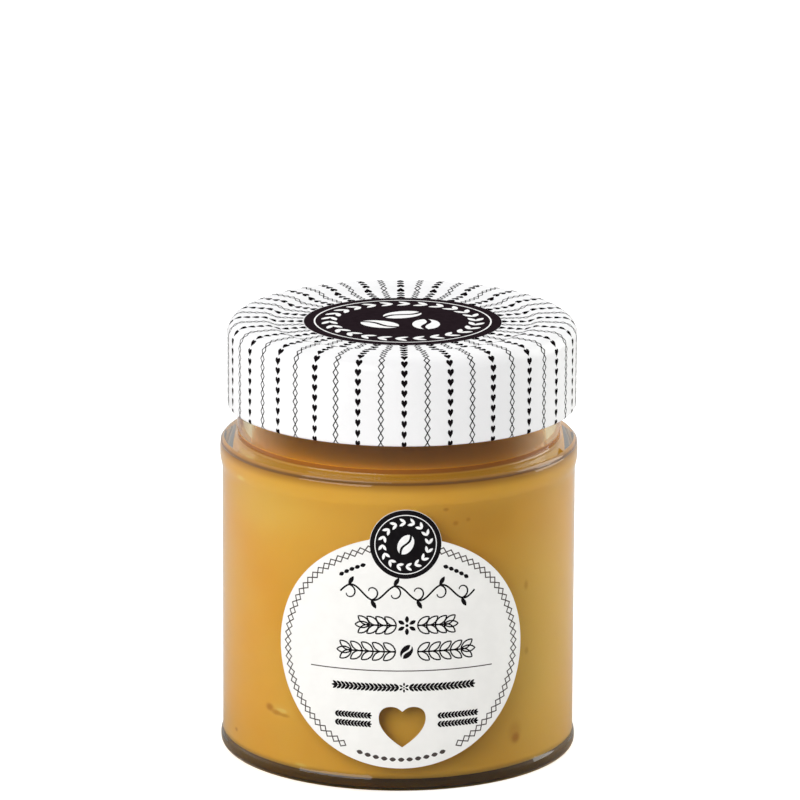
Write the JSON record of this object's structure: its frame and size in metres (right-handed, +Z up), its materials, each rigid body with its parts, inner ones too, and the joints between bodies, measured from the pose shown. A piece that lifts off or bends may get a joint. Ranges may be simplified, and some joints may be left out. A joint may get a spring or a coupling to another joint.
{
  "type": "jar of tiramisu cream",
  "caption": "Small round glass jar filled with pale brown dessert cream, closed by a white patterned twist-off metal lid, with a round paper label that has a heart-shaped window.",
  "frame": {"origin": "centre of the jar's foot, on the surface it stands on", "axes": "+Z up along the jar's axis, -Y towards the middle of the label"},
  "size_m": [0.0694, 0.0694, 0.085],
  "materials": {
    "jar_glass": "clear, polished, faintly green in the thick base",
    "cream": null,
    "lid_enamel": "white enamel with a satin gloss, printed with dark rows of hearts and diamond chains",
    "label_paper": "smooth coated paper, warm white"
  },
  "bodies": {
    "root": {"jar": "jar_glass", "cream": "cream", "lid": "lid_enamel", "label": "label_paper"}
  },
  "joints": []
}
